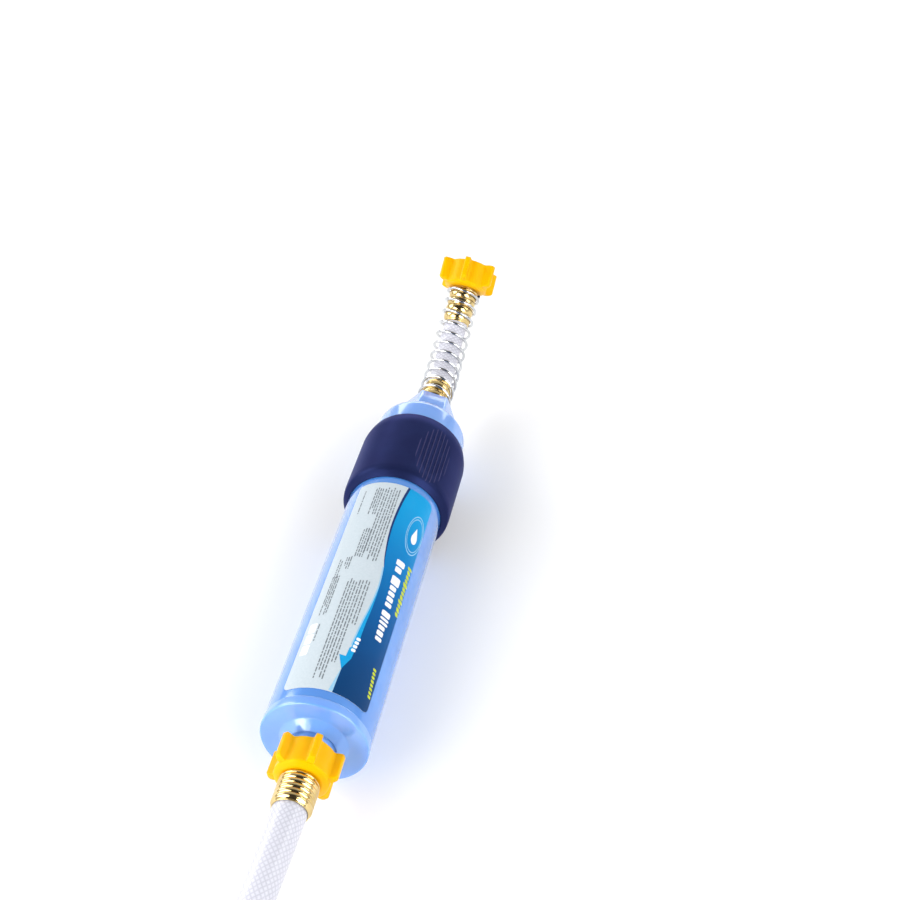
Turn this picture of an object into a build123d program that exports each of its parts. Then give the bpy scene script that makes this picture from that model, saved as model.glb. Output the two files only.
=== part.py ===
from build123d import *
import math
import os

# Inline water filter for a caravan: a translucent canister lying on a surface, with a flexible
# hose protector on its inlet and a leader hose on its outlet. Millimetres.
# +Y runs along the canister from outlet to inlet, against the flow, and +Z is up.
# The origin is under the middle of the filter. "s" below is the distance from the outlet rim.

os.makedirs("parts", exist_ok=True)

# ---- canister
SLEEVE_R = 36.6  # the grip sleeve is the widest piece, so the filter rests on it
AXIS_Z = SLEEVE_R
RIM_Y = -204.37  # outlet rim of the canister
BODY_R = 31.75  # 2.5 inch tube
WALL = 2.5
CAP_R = 32.1
OUTLET_SEAM = 6.0
INLET_SEAM = 258.0
INLET_FACE = 294.6
HEX_BASE = 301.0
SOCKET_RIM = 320.5
HEX_CORNER_R = 19.2
HEX_TURN = 76.0
SHOULDER_R = 9.0
BOSS_R = 20.6
NECK_ROOT_R = 13.9
BOSS_END = -4.5
OUTLET_NECK_END = -18.7
GAP = 0.05  # between pieces that are glued or pushed into each other

# ---- 3/4-11.5 garden hose thread, drawn as plain cylinders
MALE_R = 13.45
FEMALE_R = 13.55
THREAD_PITCH = 2.2087
SOCKET_DEPTH = 15.5
PORT_R = 9.5

# ---- grip sleeve and label
SLEEVE_START = 202.0
SLEEVE_END = 269.5
LABEL_START = 12.0
LABEL_END = 196.0
LABEL_LOW_ANGLE = 29.5
LABEL_HIGH_ANGLE = 129.0
LABEL_THICK = 0.2

# ---- media inside, as stations along s
OUTLET_SCREEN = (9.0, 12.0)
OUTLET_PAD = (12.0, 17.0)
METAL_MEDIA = (17.0, 67.0)
DIVIDER_PAD = (67.0, 71.0)
CARBON = (71.0, 272.0)
SEDIMENT_PAD = (272.0, 279.0)
DIFFUSER = (279.0, 283.0)
MEDIA_R = BODY_R - WALL - 0.15

# ---- couplings: "w" runs from a ferrule's end towards the nut's mouth
NUT_START = 0.8
NUT_WALL = 4.1
NUT_LENGTH = 20.0
NECK_R = 8.6
NECK_HOLE_R = 8.66
FLANGE_R = 12.9
FLANGE_START = 5.2
FLANGE_THICK = 2.2
WASHER_THICK = 3.0
WASHER_HOLE_R = 6.5
RELIEF_R = 13.9
NUT_BODY_R = 16.1
WING_COUNT = 6
WING_WIDTH = 4.4

# ---- hose protector on the inlet
GUARD_FERRULE_LENGTH = 27.0
GUARD_FERRULE_R = 10.6
GUARD_HOSE_R = 8.75
GUARD_HOSE_BORE = 6.35
GUARD_RUN = 32.0
GUARD_MID_DIRECTION = (1.75, 19.1)  # turn to the right and rise, in degrees
GUARD_END_DIRECTION = (6.85, 38.5)
SPRING_OUTER_R = 13.4
SPRING_INNER_R = 12.9
INLET_WING_R = 22.7
INLET_WING_TURN = 28.3

# ---- leader hose on the outlet
OUTLET_FERRULE_LENGTH = 20.0
OUTLET_FERRULE_R = 11.9
OUTLET_WING_R = 20.9
OUTLET_WING_TURN = 9.0
HOSE_R = 10.1
HOSE_BORE = 7.95
HOSE_LENGTH = 1219.0  # 4 feet, from the ferrule's mouth to the far ferrule
TIE_THICK = 0.6
COIL_R = 109.0
COIL_HEADING = 10.0  # the hose's heading where the coil starts, in degrees to the left of -Y
COIL_LEAD = 69.9  # the straight run between the hose's landing and the coil
COIL_LOWER_SPAN = 320.0
COIL_UPPER_START = 280.0
COIL_TOTAL = 550.0
LAYER = 20.5
FAR_FERRULE_LENGTH = 24.0
FAR_THREAD_LENGTH = 13.0

HOSE_Z = TIE_THICK + 0.1 + HOSE_R


def station(s):
    """The Y of a place on the canister, from its distance to the outlet rim."""
    return RIM_Y + s


def toward(turn, rise):
    """A unit vector that turns to the right of +Y and rises, in degrees."""
    flat = math.cos(math.radians(rise))
    return Vector(
        math.sin(math.radians(turn)) * flat,
        math.cos(math.radians(turn)) * flat,
        math.sin(math.radians(rise)),
    )


def section(direction=(0, 1, 0), origin=(0, 0, 0), side=None):
    """The half plane in which a turned piece's outline is drawn: x is the radius, y the axis."""
    axis = Vector(*direction)
    across = Vector(1, 0, 0) if side is None else Vector(*side)
    across = (across - axis * axis.dot(across)).normalized()
    return Plane(origin=origin, x_dir=across, z_dir=across.cross(axis))


def write(part, name):
    part.label = name
    export_step(part, f"parts/{name}.step")


canister = section(origin=(0, RIM_Y, AXIS_Z))
canister_axis = Axis((0, RIM_Y, AXIS_Z), (0, 1, 0))

# ---- canister shell
with BuildPart() as canister_tube:
    with BuildSketch(canister):
        with BuildLine():
            Polyline(
                (BODY_R - WALL, OUTLET_SEAM),
                (BODY_R, OUTLET_SEAM),
                (BODY_R, INLET_SEAM),
                (BODY_R - WALL, INLET_SEAM),
                close=True,
            )
        make_face()
    revolve(axis=canister_axis)
write(canister_tube.part, "canister_tube")

# The outlet cap has a plug inside the tube, a rounded rim, a low cone and a male neck.
with BuildPart() as outlet_end_cap:
    with BuildSketch(canister):
        with BuildLine():
            Polyline(
                (PORT_R, OUTLET_NECK_END),
                (MALE_R - 0.6, OUTLET_NECK_END),
                (MALE_R, OUTLET_NECK_END + 0.8),
                (MALE_R, BOSS_END),
                (NECK_ROOT_R, BOSS_END),
                (BOSS_R, 0),
                (CAP_R - 2.0, -0.2),
            )
            TangentArc((CAP_R - 2.0, -0.2), (CAP_R, 1.8), tangent=(1, 0))
            Polyline(
                (CAP_R, 1.8),
                (CAP_R, OUTLET_SEAM - 0.4),
                (BODY_R, OUTLET_SEAM),
                (BODY_R - WALL - GAP, OUTLET_SEAM),
                (BODY_R - WALL - GAP, OUTLET_SCREEN[0]),
                (BODY_R - 2 * WALL, OUTLET_SCREEN[0]),
                (BODY_R - 2 * WALL, 3.0),
                (PORT_R + 8.0, 1.0),
                (PORT_R, -1.5),
                (PORT_R, OUTLET_NECK_END),
            )
        make_face()
    revolve(axis=canister_axis)
write(outlet_end_cap.part, "outlet_end_cap")

# The inlet cap's skirt meets the tube under the sleeve. Its hexagonal neck is a hose socket.
hex_points = [
    (
        HEX_CORNER_R * math.cos(math.radians(HEX_TURN + 30 + 60 * k)),
        HEX_CORNER_R * math.sin(math.radians(HEX_TURN + 30 + 60 * k)),
    )
    for k in range(6)
]


def across_plane(s):
    """A plane across the canister at a station, with x to the right and y up."""
    return Plane(origin=(0, station(s), AXIS_Z), x_dir=(1, 0, 0), z_dir=(0, -1, 0))


with BuildPart() as inlet_end_cap:
    with BuildSketch(canister):
        with BuildLine():
            Polyline(
                (PORT_R, INLET_FACE - 4.0),
                (PORT_R, HEX_BASE + 2.0),
                (HEX_CORNER_R - 3.0, HEX_BASE + 2.0),
                (HEX_CORNER_R + 0.5, HEX_BASE),
                (BODY_R - SHOULDER_R, INLET_FACE),
            )
            TangentArc(
                (BODY_R - SHOULDER_R, INLET_FACE),
                (BODY_R, INLET_FACE - SHOULDER_R),
                tangent=(1, 0),
            )
            Polyline(
                (BODY_R, INLET_FACE - SHOULDER_R),
                (BODY_R, INLET_SEAM),
                (BODY_R - WALL, INLET_SEAM),
                (BODY_R - WALL, DIFFUSER[1]),
                (BODY_R - 3 * WALL, INLET_FACE - WALL),
                (PORT_R, INLET_FACE - 4.0),
            )
        make_face()
    revolve(axis=canister_axis)
    with BuildSketch(across_plane(SOCKET_RIM)):
        Polygon(*hex_points, align=None)
    extrude(amount=SOCKET_RIM - HEX_BASE)
    with BuildSketch(across_plane(SOCKET_RIM)):
        Circle(FEMALE_R)
    extrude(amount=SOCKET_DEPTH, mode=Mode.SUBTRACT)
    with BuildSketch(across_plane(SOCKET_RIM)):
        Circle(PORT_R)
    extrude(amount=SOCKET_RIM - INLET_FACE + 6.0, mode=Mode.SUBTRACT)
write(inlet_end_cap.part, "inlet_end_cap")

# ---- grip sleeve, standing off the tube in a rounded barrel
with BuildPart() as grip_sleeve:
    with BuildSketch(canister):
        with BuildLine():
            Polyline(
                (BODY_R + GAP, SLEEVE_START),
                (BODY_R + 0.6, SLEEVE_START),
                (SLEEVE_R - 0.6, SLEEVE_START + 4.6),
            )
            TangentArc(
                (SLEEVE_R, SLEEVE_START + 8.0),
                (SLEEVE_R - 0.6, SLEEVE_START + 4.6),
                tangent=(0, -1),
            )
            Line((SLEEVE_R, SLEEVE_START + 8.0), (SLEEVE_R, SLEEVE_END - 9.0))
            TangentArc(
                (SLEEVE_R, SLEEVE_END - 9.0),
                (SLEEVE_R - 2.0, SLEEVE_END),
                tangent=(0, 1),
            )
            Polyline(
                (SLEEVE_R - 2.0, SLEEVE_END),
                (BODY_R + GAP, SLEEVE_END),
                (BODY_R + GAP, SLEEVE_START),
            )
        make_face()
    revolve(axis=canister_axis)
write(grip_sleeve.part, "grip_sleeve")

# ---- label: a thin sheet around part of the tube
with BuildPart() as label:
    with BuildSketch(across_plane(LABEL_END)):
        inner_r = BODY_R + GAP
        outer_r = inner_r + LABEL_THICK
        with BuildLine():
            inner = CenterArc((0, 0), inner_r, LABEL_LOW_ANGLE, LABEL_HIGH_ANGLE - LABEL_LOW_ANGLE)
            outer = CenterArc((0, 0), outer_r, LABEL_LOW_ANGLE, LABEL_HIGH_ANGLE - LABEL_LOW_ANGLE)
            Line(inner @ 0, outer @ 0)
            Line(inner @ 1, outer @ 1)
        make_face()
    extrude(amount=LABEL_END - LABEL_START)
write(label.part, "label")

# ---- what the canister holds
media = {
    "outlet_pad": OUTLET_PAD,
    "metal_media_bed": METAL_MEDIA,
    "divider_pad": DIVIDER_PAD,
    "carbon_bed": CARBON,
    "sediment_pad": SEDIMENT_PAD,
}
for media_name, (first, last) in media.items():
    with BuildPart() as bed:
        with BuildSketch(across_plane(last)):
            Circle(MEDIA_R)
        extrude(amount=last - first)
    write(bed.part, media_name)

# Perforated discs keep the media in.
for disc_name, (first, last) in {"outlet_screen": OUTLET_SCREEN, "inlet_diffuser": DIFFUSER}.items():
    with BuildPart() as disc:
        with BuildSketch(across_plane(last)):
            Circle(MEDIA_R)
            for ring_r, holes in ((7.0, 6), (14.0, 12), (21.0, 18)):
                with PolarLocations(ring_r, holes):
                    Circle(1.5, mode=Mode.SUBTRACT)
        extrude(amount=last - first)
    write(disc.part, disc_name)


# ---- coupling pieces, each drawn in the half plane of its own axis
def coupling_nut(plane, axis, across, wing_r, wing_turn):
    """A swivel hose nut with wings. It turns on the tailpiece's neck behind its flange."""
    mouth = NUT_START + NUT_LENGTH
    bore_start = NUT_START + NUT_WALL
    thread_start = FLANGE_START + FLANGE_THICK + WASHER_THICK + 0.2
    with BuildPart() as nut:
        with BuildSketch(plane):
            with BuildLine():
                Polyline(
                    (NECK_HOLE_R, NUT_START),
                    (NUT_BODY_R - 4.4, NUT_START),
                    (NUT_BODY_R, NUT_START + 2.6),
                    (NUT_BODY_R - 0.5, mouth),
                    (FEMALE_R + 0.5, mouth),
                    (FEMALE_R, mouth - 0.5),
                    (FEMALE_R, thread_start),
                    (RELIEF_R, thread_start),
                    (RELIEF_R, bore_start),
                    (NECK_HOLE_R, bore_start),
                    close=True,
                )
            make_face()
        revolve(axis=axis)
        wing_plane = Plane(
            origin=plane.origin + axis.direction * (mouth - 0.6),
            x_dir=across,
            z_dir=axis.direction * -1,
        )
        with BuildSketch(wing_plane):
            with PolarLocations(0, WING_COUNT, start_angle=wing_turn):
                wing_middle = (NUT_BODY_R - 1.0 + wing_r) / 2
                with Locations((wing_middle, 0)):
                    RectangleRounded(wing_r - NUT_BODY_R + 1.0, WING_WIDTH, 0.9)
        extrude(amount=NUT_LENGTH - 2.8)
    return nut.part


def tailpiece(plane, axis, barb_length, barb_r, bore_r):
    """A barbed stem inside the hose's end, a neck for the nut to turn on, and a flange."""
    with BuildPart() as stem:
        with BuildSketch(plane):
            with BuildLine():
                Polyline(
                    (bore_r, -barb_length),
                    (barb_r, -barb_length),
                    (barb_r, 0),
                    (NECK_R, 0),
                    (NECK_R, FLANGE_START),
                    (FLANGE_R, FLANGE_START),
                    (FLANGE_R, FLANGE_START + FLANGE_THICK),
                    (bore_r, FLANGE_START + FLANGE_THICK),
                    close=True,
                )
            make_face()
        revolve(axis=axis)
    return stem.part


def washer(plane, axis, start, outer_r, hole_r):
    with BuildPart() as ring:
        with BuildSketch(plane):
            with Locations(((outer_r + hole_r) / 2, start + WASHER_THICK / 2)):
                Rectangle(outer_r - hole_r, WASHER_THICK)
        revolve(axis=axis)
    return ring.part


def ferrule(plane, axis, length, outer_r, inner_r, beads):
    """A brass sleeve crimped over the hose's end, rolled into rounded beads."""
    bead = length / beads
    with BuildPart() as sleeve:
        with BuildSketch(plane):
            with BuildLine():
                Line((inner_r, -length), (outer_r - 0.7, -length))
                for k in range(beads):
                    low = -length + bead * k
                    ThreePointArc(
                        (outer_r - 0.7, low),
                        (outer_r, low + bead / 2),
                        (outer_r - 0.7, low + bead),
                    )
                Polyline(
                    (outer_r - 0.7, 0),
                    (NECK_R + GAP, 0),
                    (NECK_R + GAP, -0.8),
                    (inner_r, -0.8),
                    (inner_r, -length),
                )
            make_face()
        revolve(axis=axis)
    return sleeve.part


# ---- hose protector: male coupling in the socket, ferrule, hose, spring, ferrule and nut
guard_first = toward(0, 0)
guard_mid = toward(*GUARD_MID_DIRECTION)
guard_last = toward(*GUARD_END_DIRECTION)
guard_start = Vector(0, station(SOCKET_RIM + 1.0), AXIS_Z)
bend_start = guard_start + guard_first * GUARD_FERRULE_LENGTH
bend_one = bend_start + guard_first * (GUARD_RUN / 2)
bend_two = bend_one + guard_mid * GUARD_RUN
bend_end = bend_two + guard_last * (GUARD_RUN / 2)
guard_end = bend_end + guard_last * GUARD_FERRULE_LENGTH
guard_turns = [guard_first.get_angle(guard_mid), guard_mid.get_angle(guard_last)]
guard_radii = [GUARD_RUN * 0.49 / math.tan(math.radians(turn / 2)) for turn in guard_turns]
print("protector bend radii", [round(r, 1) for r in guard_radii])

# The socket end is turned round, so its "w" runs into the socket.
socket_plane = section(direction=(0, -1, 0), origin=guard_start)
socket_axis = Axis(guard_start, (0, -1, 0))
MALE_START = 1.5
MALE_END = SOCKET_DEPTH - WASHER_THICK + 0.8
with BuildPart() as protector_male_coupling:
    with BuildSketch(socket_plane):
        with BuildLine():
            Polyline(
                (5.0, -GUARD_FERRULE_LENGTH + 3.0),
                (GUARD_HOSE_BORE - GAP, -GUARD_FERRULE_LENGTH + 3.0),
                (GUARD_HOSE_BORE - GAP, 0),
                (NECK_R, 0),
                (NECK_R, MALE_START),
                (MALE_R, MALE_START),
                (MALE_R, MALE_END - 0.6),
                (MALE_R - 0.6, MALE_END),
                (5.0, MALE_END),
                close=True,
            )
        make_face()
    revolve(axis=socket_axis)
write(protector_male_coupling.part, "protector_male_coupling")
write(washer(socket_plane, socket_axis, MALE_END + 0.1, FEMALE_R - 0.3, WASHER_HOLE_R), "socket_washer")
lower_ferrule = ferrule(
    socket_plane, socket_axis, GUARD_FERRULE_LENGTH, GUARD_FERRULE_R, GUARD_HOSE_R + GAP, 4
)
write(lower_ferrule, "protector_lower_ferrule")

guard_across = Vector(1, 0, 0) - guard_last * guard_last.dot(Vector(1, 0, 0))
guard_across = guard_across.normalized()
guard_plane = section(direction=guard_last, origin=guard_end, side=guard_across)
guard_axis = Axis(guard_end, guard_last)

hose_ends = [guard_start + guard_first * 0.9, guard_end - guard_last * 0.9]
hose_ring = Plane(origin=hose_ends[0], x_dir=(1, 0, 0), z_dir=guard_first)
with BuildPart() as protector_hose:
    with BuildLine():
        FilletPolyline(hose_ends[0], bend_one, bend_two, hose_ends[1], radius=guard_radii)
    with BuildSketch(hose_ring):
        Circle(GUARD_HOSE_R)
        Circle(GUARD_HOSE_BORE, mode=Mode.SUBTRACT)
    sweep()
write(protector_hose.part, "protector_hose")

# The guard spring's envelope: a thin tube of the coil's outer diameter along the same line.
spring_ends = [guard_start + guard_first * 0.4, guard_end - guard_last * 0.2]
spring_ring = Plane(origin=spring_ends[0], x_dir=(1, 0, 0), z_dir=guard_first)
with BuildPart() as protector_spring:
    with BuildLine():
        FilletPolyline(spring_ends[0], bend_one, bend_two, spring_ends[1], radius=guard_radii)
    with BuildSketch(spring_ring):
        Circle(SPRING_OUTER_R)
        Circle(SPRING_INNER_R, mode=Mode.SUBTRACT)
    sweep()
write(protector_spring.part, "protector_spring")

upper_ferrule = ferrule(
    guard_plane, guard_axis, GUARD_FERRULE_LENGTH, GUARD_FERRULE_R, GUARD_HOSE_R + GAP, 4
)
write(upper_ferrule, "protector_upper_ferrule")
guard_stem = tailpiece(guard_plane, guard_axis, GUARD_FERRULE_LENGTH - 3.0, GUARD_HOSE_BORE - GAP, 5.0)
write(guard_stem, "protector_tailpiece")
WASHER_START = FLANGE_START + FLANGE_THICK
write(washer(guard_plane, guard_axis, WASHER_START, FLANGE_R, WASHER_HOLE_R), "inlet_washer")
inlet_nut = coupling_nut(guard_plane, guard_axis, guard_across, INLET_WING_R, INLET_WING_TURN)
write(inlet_nut, "inlet_nut")

# ---- outlet coupling: its "w" runs from the ferrule towards the filter
outlet_end = Vector(0, station(OUTLET_NECK_END - 0.3 - WASHER_START - WASHER_THICK), AXIS_Z)
outlet_plane = section(origin=outlet_end)
outlet_axis = Axis(outlet_end, (0, 1, 0))
outlet_across = Vector(1, 0, 0)
write(coupling_nut(outlet_plane, outlet_axis, outlet_across, OUTLET_WING_R, OUTLET_WING_TURN), "outlet_nut")
outlet_stem = tailpiece(outlet_plane, outlet_axis, OUTLET_FERRULE_LENGTH - 2.5, HOSE_BORE - GAP, 6.4)
write(outlet_stem, "outlet_tailpiece")
write(washer(outlet_plane, outlet_axis, WASHER_START, FLANGE_R, WASHER_HOLE_R), "outlet_washer")
outlet_sleeve = ferrule(
    outlet_plane, outlet_axis, OUTLET_FERRULE_LENGTH, OUTLET_FERRULE_R, HOSE_R + GAP, 6
)
write(outlet_sleeve, "outlet_ferrule")

# ---- leader hose: out of the ferrule, down to the surface, and into a round coil
heading = math.radians(COIL_HEADING)
hose_start = outlet_end + Vector(0, -0.9, 0)
hose_landing = Vector(-12.6, station(-147.7), HOSE_Z)
hose_route = [
    hose_start,
    Vector(0, station(-76.4), AXIS_Z),
    hose_landing,
    hose_landing + Vector(-math.sin(heading), -math.cos(heading), 0) * COIL_LEAD,
]


def route_radii(points):
    """The largest arcs that the runs of a route allow, one for each corner."""
    radii = []
    for before, corner, after in zip(points, points[1:], points[2:]):
        run_in = corner - before
        run_out = after - corner
        turn = math.radians(run_in.get_angle(run_out))
        radii.append(0.45 * min(run_in.length, run_out.length) / math.tan(turn / 2))
    return radii


hose_radii = route_radii(hose_route)
print("leader hose radii", [round(r, 1) for r in hose_radii])
with BuildPart() as outlet_hose_run:
    with BuildLine() as run_line:
        FilletPolyline(*hose_route, radius=hose_radii)
    with BuildSketch(Plane(origin=hose_start, x_dir=(1, 0, 0), z_dir=(0, -1, 0))):
        Circle(HOSE_R)
    sweep()
    run_length = sum(edge.length for edge in run_line.edges())
    print("run volume / section x length", outlet_hose_run.part.volume / (math.pi * HOSE_R**2 * run_length))
    with BuildSketch(Plane(origin=hose_start, x_dir=(1, 0, 0), z_dir=(0, -1, 0))):
        Circle(HOSE_BORE)
    extrude(amount=OUTLET_FERRULE_LENGTH - 3.0, mode=Mode.SUBTRACT)
write(outlet_hose_run.part, "outlet_hose_run")

# Seen from above the coil turns anticlockwise, one turn on the surface and the rest on top of it.
coil_entry = hose_route[-1]
coil_middle = coil_entry + Vector(math.cos(heading), -math.sin(heading), 0) * COIL_R
entry_angle = 180 - COIL_HEADING
coil_axis = Axis((coil_middle.X, coil_middle.Y, 0), (0, 0, 1))
exposed_run = run_length - OUTLET_FERRULE_LENGTH + 0.9
coil_length = math.radians(COIL_TOTAL) * COIL_R
print("hose length", round(exposed_run + coil_length, 1), "of", HOSE_LENGTH)


# The far end lies on the coil's lower turn and points along +Y.
far_z = HOSE_Z + HOSE_R + MALE_R + 1.2
far_start = Vector(coil_middle.X + COIL_R, coil_middle.Y, far_z)
far_plane = section(origin=far_start)
far_axis = Axis(far_start, (0, 1, 0))


def coil_section(angle):
    """The upright half plane through the coil's axis at an angle: x is the radius, y is up."""
    across = Vector(math.cos(math.radians(angle)), math.sin(math.radians(angle)), 0)
    return Plane(
        origin=(coil_middle.X, coil_middle.Y, 0),
        x_dir=across,
        z_dir=across.cross(Vector(0, 0, 1)),
    )


with BuildPart() as outlet_hose_coil:
    with BuildSketch(coil_section(entry_angle + 0.05)):
        with Locations((COIL_R, HOSE_Z)):
            Rectangle(2 * HOSE_R, 2 * HOSE_R)
    revolve(axis=coil_axis, revolution_arc=COIL_LOWER_SPAN)
    with BuildSketch(coil_section(entry_angle + COIL_UPPER_START)):
        with Locations((COIL_R, HOSE_Z + LAYER / 2)):
            Rectangle(2 * HOSE_R - 1.0, LAYER + HOSE_R)
    revolve(axis=coil_axis, revolution_arc=COIL_LOWER_SPAN - COIL_UPPER_START - 5)
    with BuildSketch(coil_section(entry_angle + COIL_UPPER_START - 5)):
        with Locations((COIL_R, HOSE_Z + LAYER)):
            Rectangle(2 * HOSE_R, 2 * HOSE_R)
    revolve(axis=coil_axis, revolution_arc=COIL_TOTAL - COIL_UPPER_START + 5)
    with BuildSketch(Plane(origin=far_start - Vector(0, 1, 0), x_dir=(1, 0, 0), z_dir=(0, 1, 0))):
        Circle(HOSE_R - 0.2)
    extrude(amount=FAR_FERRULE_LENGTH)
    with BuildSketch(Plane(origin=far_start, x_dir=(1, 0, 0), z_dir=(0, 1, 0))):
        Circle(HOSE_BORE)
    extrude(amount=FAR_FERRULE_LENGTH, mode=Mode.SUBTRACT)
write(outlet_hose_coil.part, "outlet_hose_coil")

# A strap holds the two turns together on the far side of the coil.
tie_angle = entry_angle + 100
with BuildPart() as coil_tie:
    tie_width = 12.0
    stack = LAYER + 2 * HOSE_R
    tie_middle = Vector(
        coil_middle.X + COIL_R * math.cos(math.radians(tie_angle)),
        coil_middle.Y + COIL_R * math.sin(math.radians(tie_angle)),
        HOSE_Z - HOSE_R + stack / 2,
    )
    across_tie = Vector(math.cos(math.radians(tie_angle)), math.sin(math.radians(tie_angle)), 0)
    along_tie = Vector(0, 0, 1).cross(across_tie)
    tie_plane = Plane(origin=tie_middle - along_tie * (tie_width / 2), x_dir=across_tie, z_dir=along_tie)
    with BuildSketch(tie_plane):
        Rectangle(2 * HOSE_R + 0.8 + 2 * TIE_THICK, stack + 0.2 + 2 * TIE_THICK)
        Rectangle(2 * HOSE_R + 0.8, stack + 0.2, mode=Mode.SUBTRACT)
    extrude(amount=tie_width)
write(coil_tie.part, "coil_tie")

# The far end has a ferrule and a male coupling.
with BuildPart() as far_end_ferrule:
    with BuildSketch(far_plane):
        with BuildLine():
            Line((HOSE_R + GAP, 0), (OUTLET_FERRULE_R - 0.7, 0))
            for k in range(6):
                bead = FAR_FERRULE_LENGTH / 6
                ThreePointArc(
                    (OUTLET_FERRULE_R - 0.7, bead * k),
                    (OUTLET_FERRULE_R, bead * (k + 0.5)),
                    (OUTLET_FERRULE_R - 0.7, bead * (k + 1)),
                )
            Polyline(
                (OUTLET_FERRULE_R - 0.7, FAR_FERRULE_LENGTH),
                (HOSE_BORE, FAR_FERRULE_LENGTH),
                (HOSE_BORE, FAR_FERRULE_LENGTH - 0.9),
                (HOSE_R + GAP, FAR_FERRULE_LENGTH - 0.9),
                (HOSE_R + GAP, 0),
            )
        make_face()
    revolve(axis=far_axis)
write(far_end_ferrule.part, "far_end_ferrule")
with BuildPart() as far_end_coupling:
    with BuildSketch(far_plane):
        with BuildLine():
            Polyline(
                (6.4, 3.0),
                (HOSE_BORE - GAP, 3.0),
                (HOSE_BORE - GAP, FAR_FERRULE_LENGTH),
                (MALE_R - 0.9, FAR_FERRULE_LENGTH),
                (MALE_R - 0.9, FAR_FERRULE_LENGTH + 5.0),
                (MALE_R, FAR_FERRULE_LENGTH + 5.0),
                (MALE_R, FAR_FERRULE_LENGTH + 4.4 + FAR_THREAD_LENGTH),
                (MALE_R - 0.6, FAR_FERRULE_LENGTH + 5.0 + FAR_THREAD_LENGTH),
                (6.4, FAR_FERRULE_LENGTH + 5.0 + FAR_THREAD_LENGTH),
                close=True,
            )
        make_face()
    revolve(axis=far_axis)
write(far_end_coupling.part, "far_end_coupling")

# Places that the fastening interfaces need, in millimetres.
print("inlet mouth", [round(v, 2) for v in guard_end + guard_last * (NUT_START + NUT_LENGTH)])
print("inlet axis", [round(v, 5) for v in guard_last])
print("outlet thread", [round(v, 2) for v in far_start + Vector(0, FAR_FERRULE_LENGTH + 5.0, 0)])
print("outlet axis start", [round(v, 2) for v in outlet_end])
print("metres of slide per radian", THREAD_PITCH / 1000 / (2 * math.pi))
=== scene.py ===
import math
import random

import bmesh
import bpy
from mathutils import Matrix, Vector


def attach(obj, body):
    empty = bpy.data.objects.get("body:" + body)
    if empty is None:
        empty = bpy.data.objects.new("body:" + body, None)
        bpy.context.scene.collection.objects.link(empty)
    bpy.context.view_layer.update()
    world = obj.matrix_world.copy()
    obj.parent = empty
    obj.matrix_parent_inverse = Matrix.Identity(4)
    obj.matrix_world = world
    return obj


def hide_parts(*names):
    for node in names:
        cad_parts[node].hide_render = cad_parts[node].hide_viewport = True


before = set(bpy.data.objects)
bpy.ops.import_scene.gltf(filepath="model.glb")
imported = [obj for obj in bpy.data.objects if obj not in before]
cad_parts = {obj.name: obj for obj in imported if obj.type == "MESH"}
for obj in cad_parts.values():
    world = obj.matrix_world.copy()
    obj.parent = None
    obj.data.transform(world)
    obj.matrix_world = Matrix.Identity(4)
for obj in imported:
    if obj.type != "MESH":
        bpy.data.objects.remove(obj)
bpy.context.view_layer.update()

# Lengths below are in millimetres until a mesh is made. "s" is the distance from the canister's
# outlet rim towards its inlet, and "w" runs along a coupling from its ferrule to its nut's mouth.
MM = 0.001
RIM_Y = -204.37
AXIS_Z = 36.6
BODY_R = 31.75
INLET_TURN = 28.3
SPRING_PHASE = 112.0
random.seed(7)


def at(s, x=0.0, z=AXIS_Z):
    return Vector((x, RIM_Y + s, z))


# ------------------------------------------------------------------ camera and light
camera_data = bpy.data.cameras.new("camera")
camera_data.sensor_width = 36.0
camera_data.lens = 59.08
camera = bpy.data.objects.new("camera", camera_data)
camera.location = (0.182909, -0.733228, 0.681)
camera.rotation_euler = (math.radians(90 - 38.09), 0, math.radians(11.19))
bpy.context.scene.collection.objects.link(camera)
bpy.context.scene.camera = camera
bpy.context.scene.view_settings.view_transform = "Standard"


def softbox(name, position, aim, width, height, power, tint=(1, 1, 1)):
    data = bpy.data.lights.new(name, "AREA")
    data.shape = "RECTANGLE"
    data.size = width
    data.size_y = height
    data.energy = power
    data.color = tint
    light = bpy.data.objects.new(name, data)
    light.location = position
    light.rotation_euler = (Vector(aim) - Vector(position)).to_track_quat("-Z", "Y").to_euler()
    bpy.context.scene.collection.objects.link(light)
    return light


softbox("front_left_softbox", (-0.95, -1.15, 0.75), (0, -0.1, 0.04), 1.1, 1.35, 23.0)
softbox("front_right_softbox", (1.08, -1.0, 0.78), (0, -0.1, 0.04), 0.85, 1.2, 21.0)
softbox("left_softbox", (-1.35, 0.3, 0.75), (0, 0.02, 0.04), 1.0, 0.8, 10.0)
softbox("low_front_softbox", (-0.72, -1.42, 0.24), (0, -0.2, 0.04), 0.85, 0.4, 4.0)
softbox("right_softbox", (1.35, 0.35, 0.9), (0, 0.02, 0.04), 0.8, 0.8, 5.0)
softbox("back_strip", (-0.05, 1.42, 0.42), (0, 0.1, 0.05), 1.8, 0.4, 7.0)

# The room is dark round the photographer, which gives metal its dark streaks.
world = bpy.data.worlds.new("studio")
bpy.context.scene.world = world
world.use_nodes = True
world_nodes = world.node_tree.nodes
world_links = world.node_tree.links
background = world_nodes["Background"]
background.inputs["Strength"].default_value = 1.0
sky_place = world_nodes.new("ShaderNodeTexCoord")
sky_split = world_nodes.new("ShaderNodeSeparateXYZ")
world_links.new(sky_place.outputs["Generated"], sky_split.inputs[0])
sky_side = world_nodes.new("ShaderNodeVectorMath")
sky_side.operation = "DOT_PRODUCT"
sky_side.inputs[1].default_value = (0.12, -0.55, 0.83)
world_links.new(sky_place.outputs["Generated"], sky_side.inputs[0])


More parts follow.
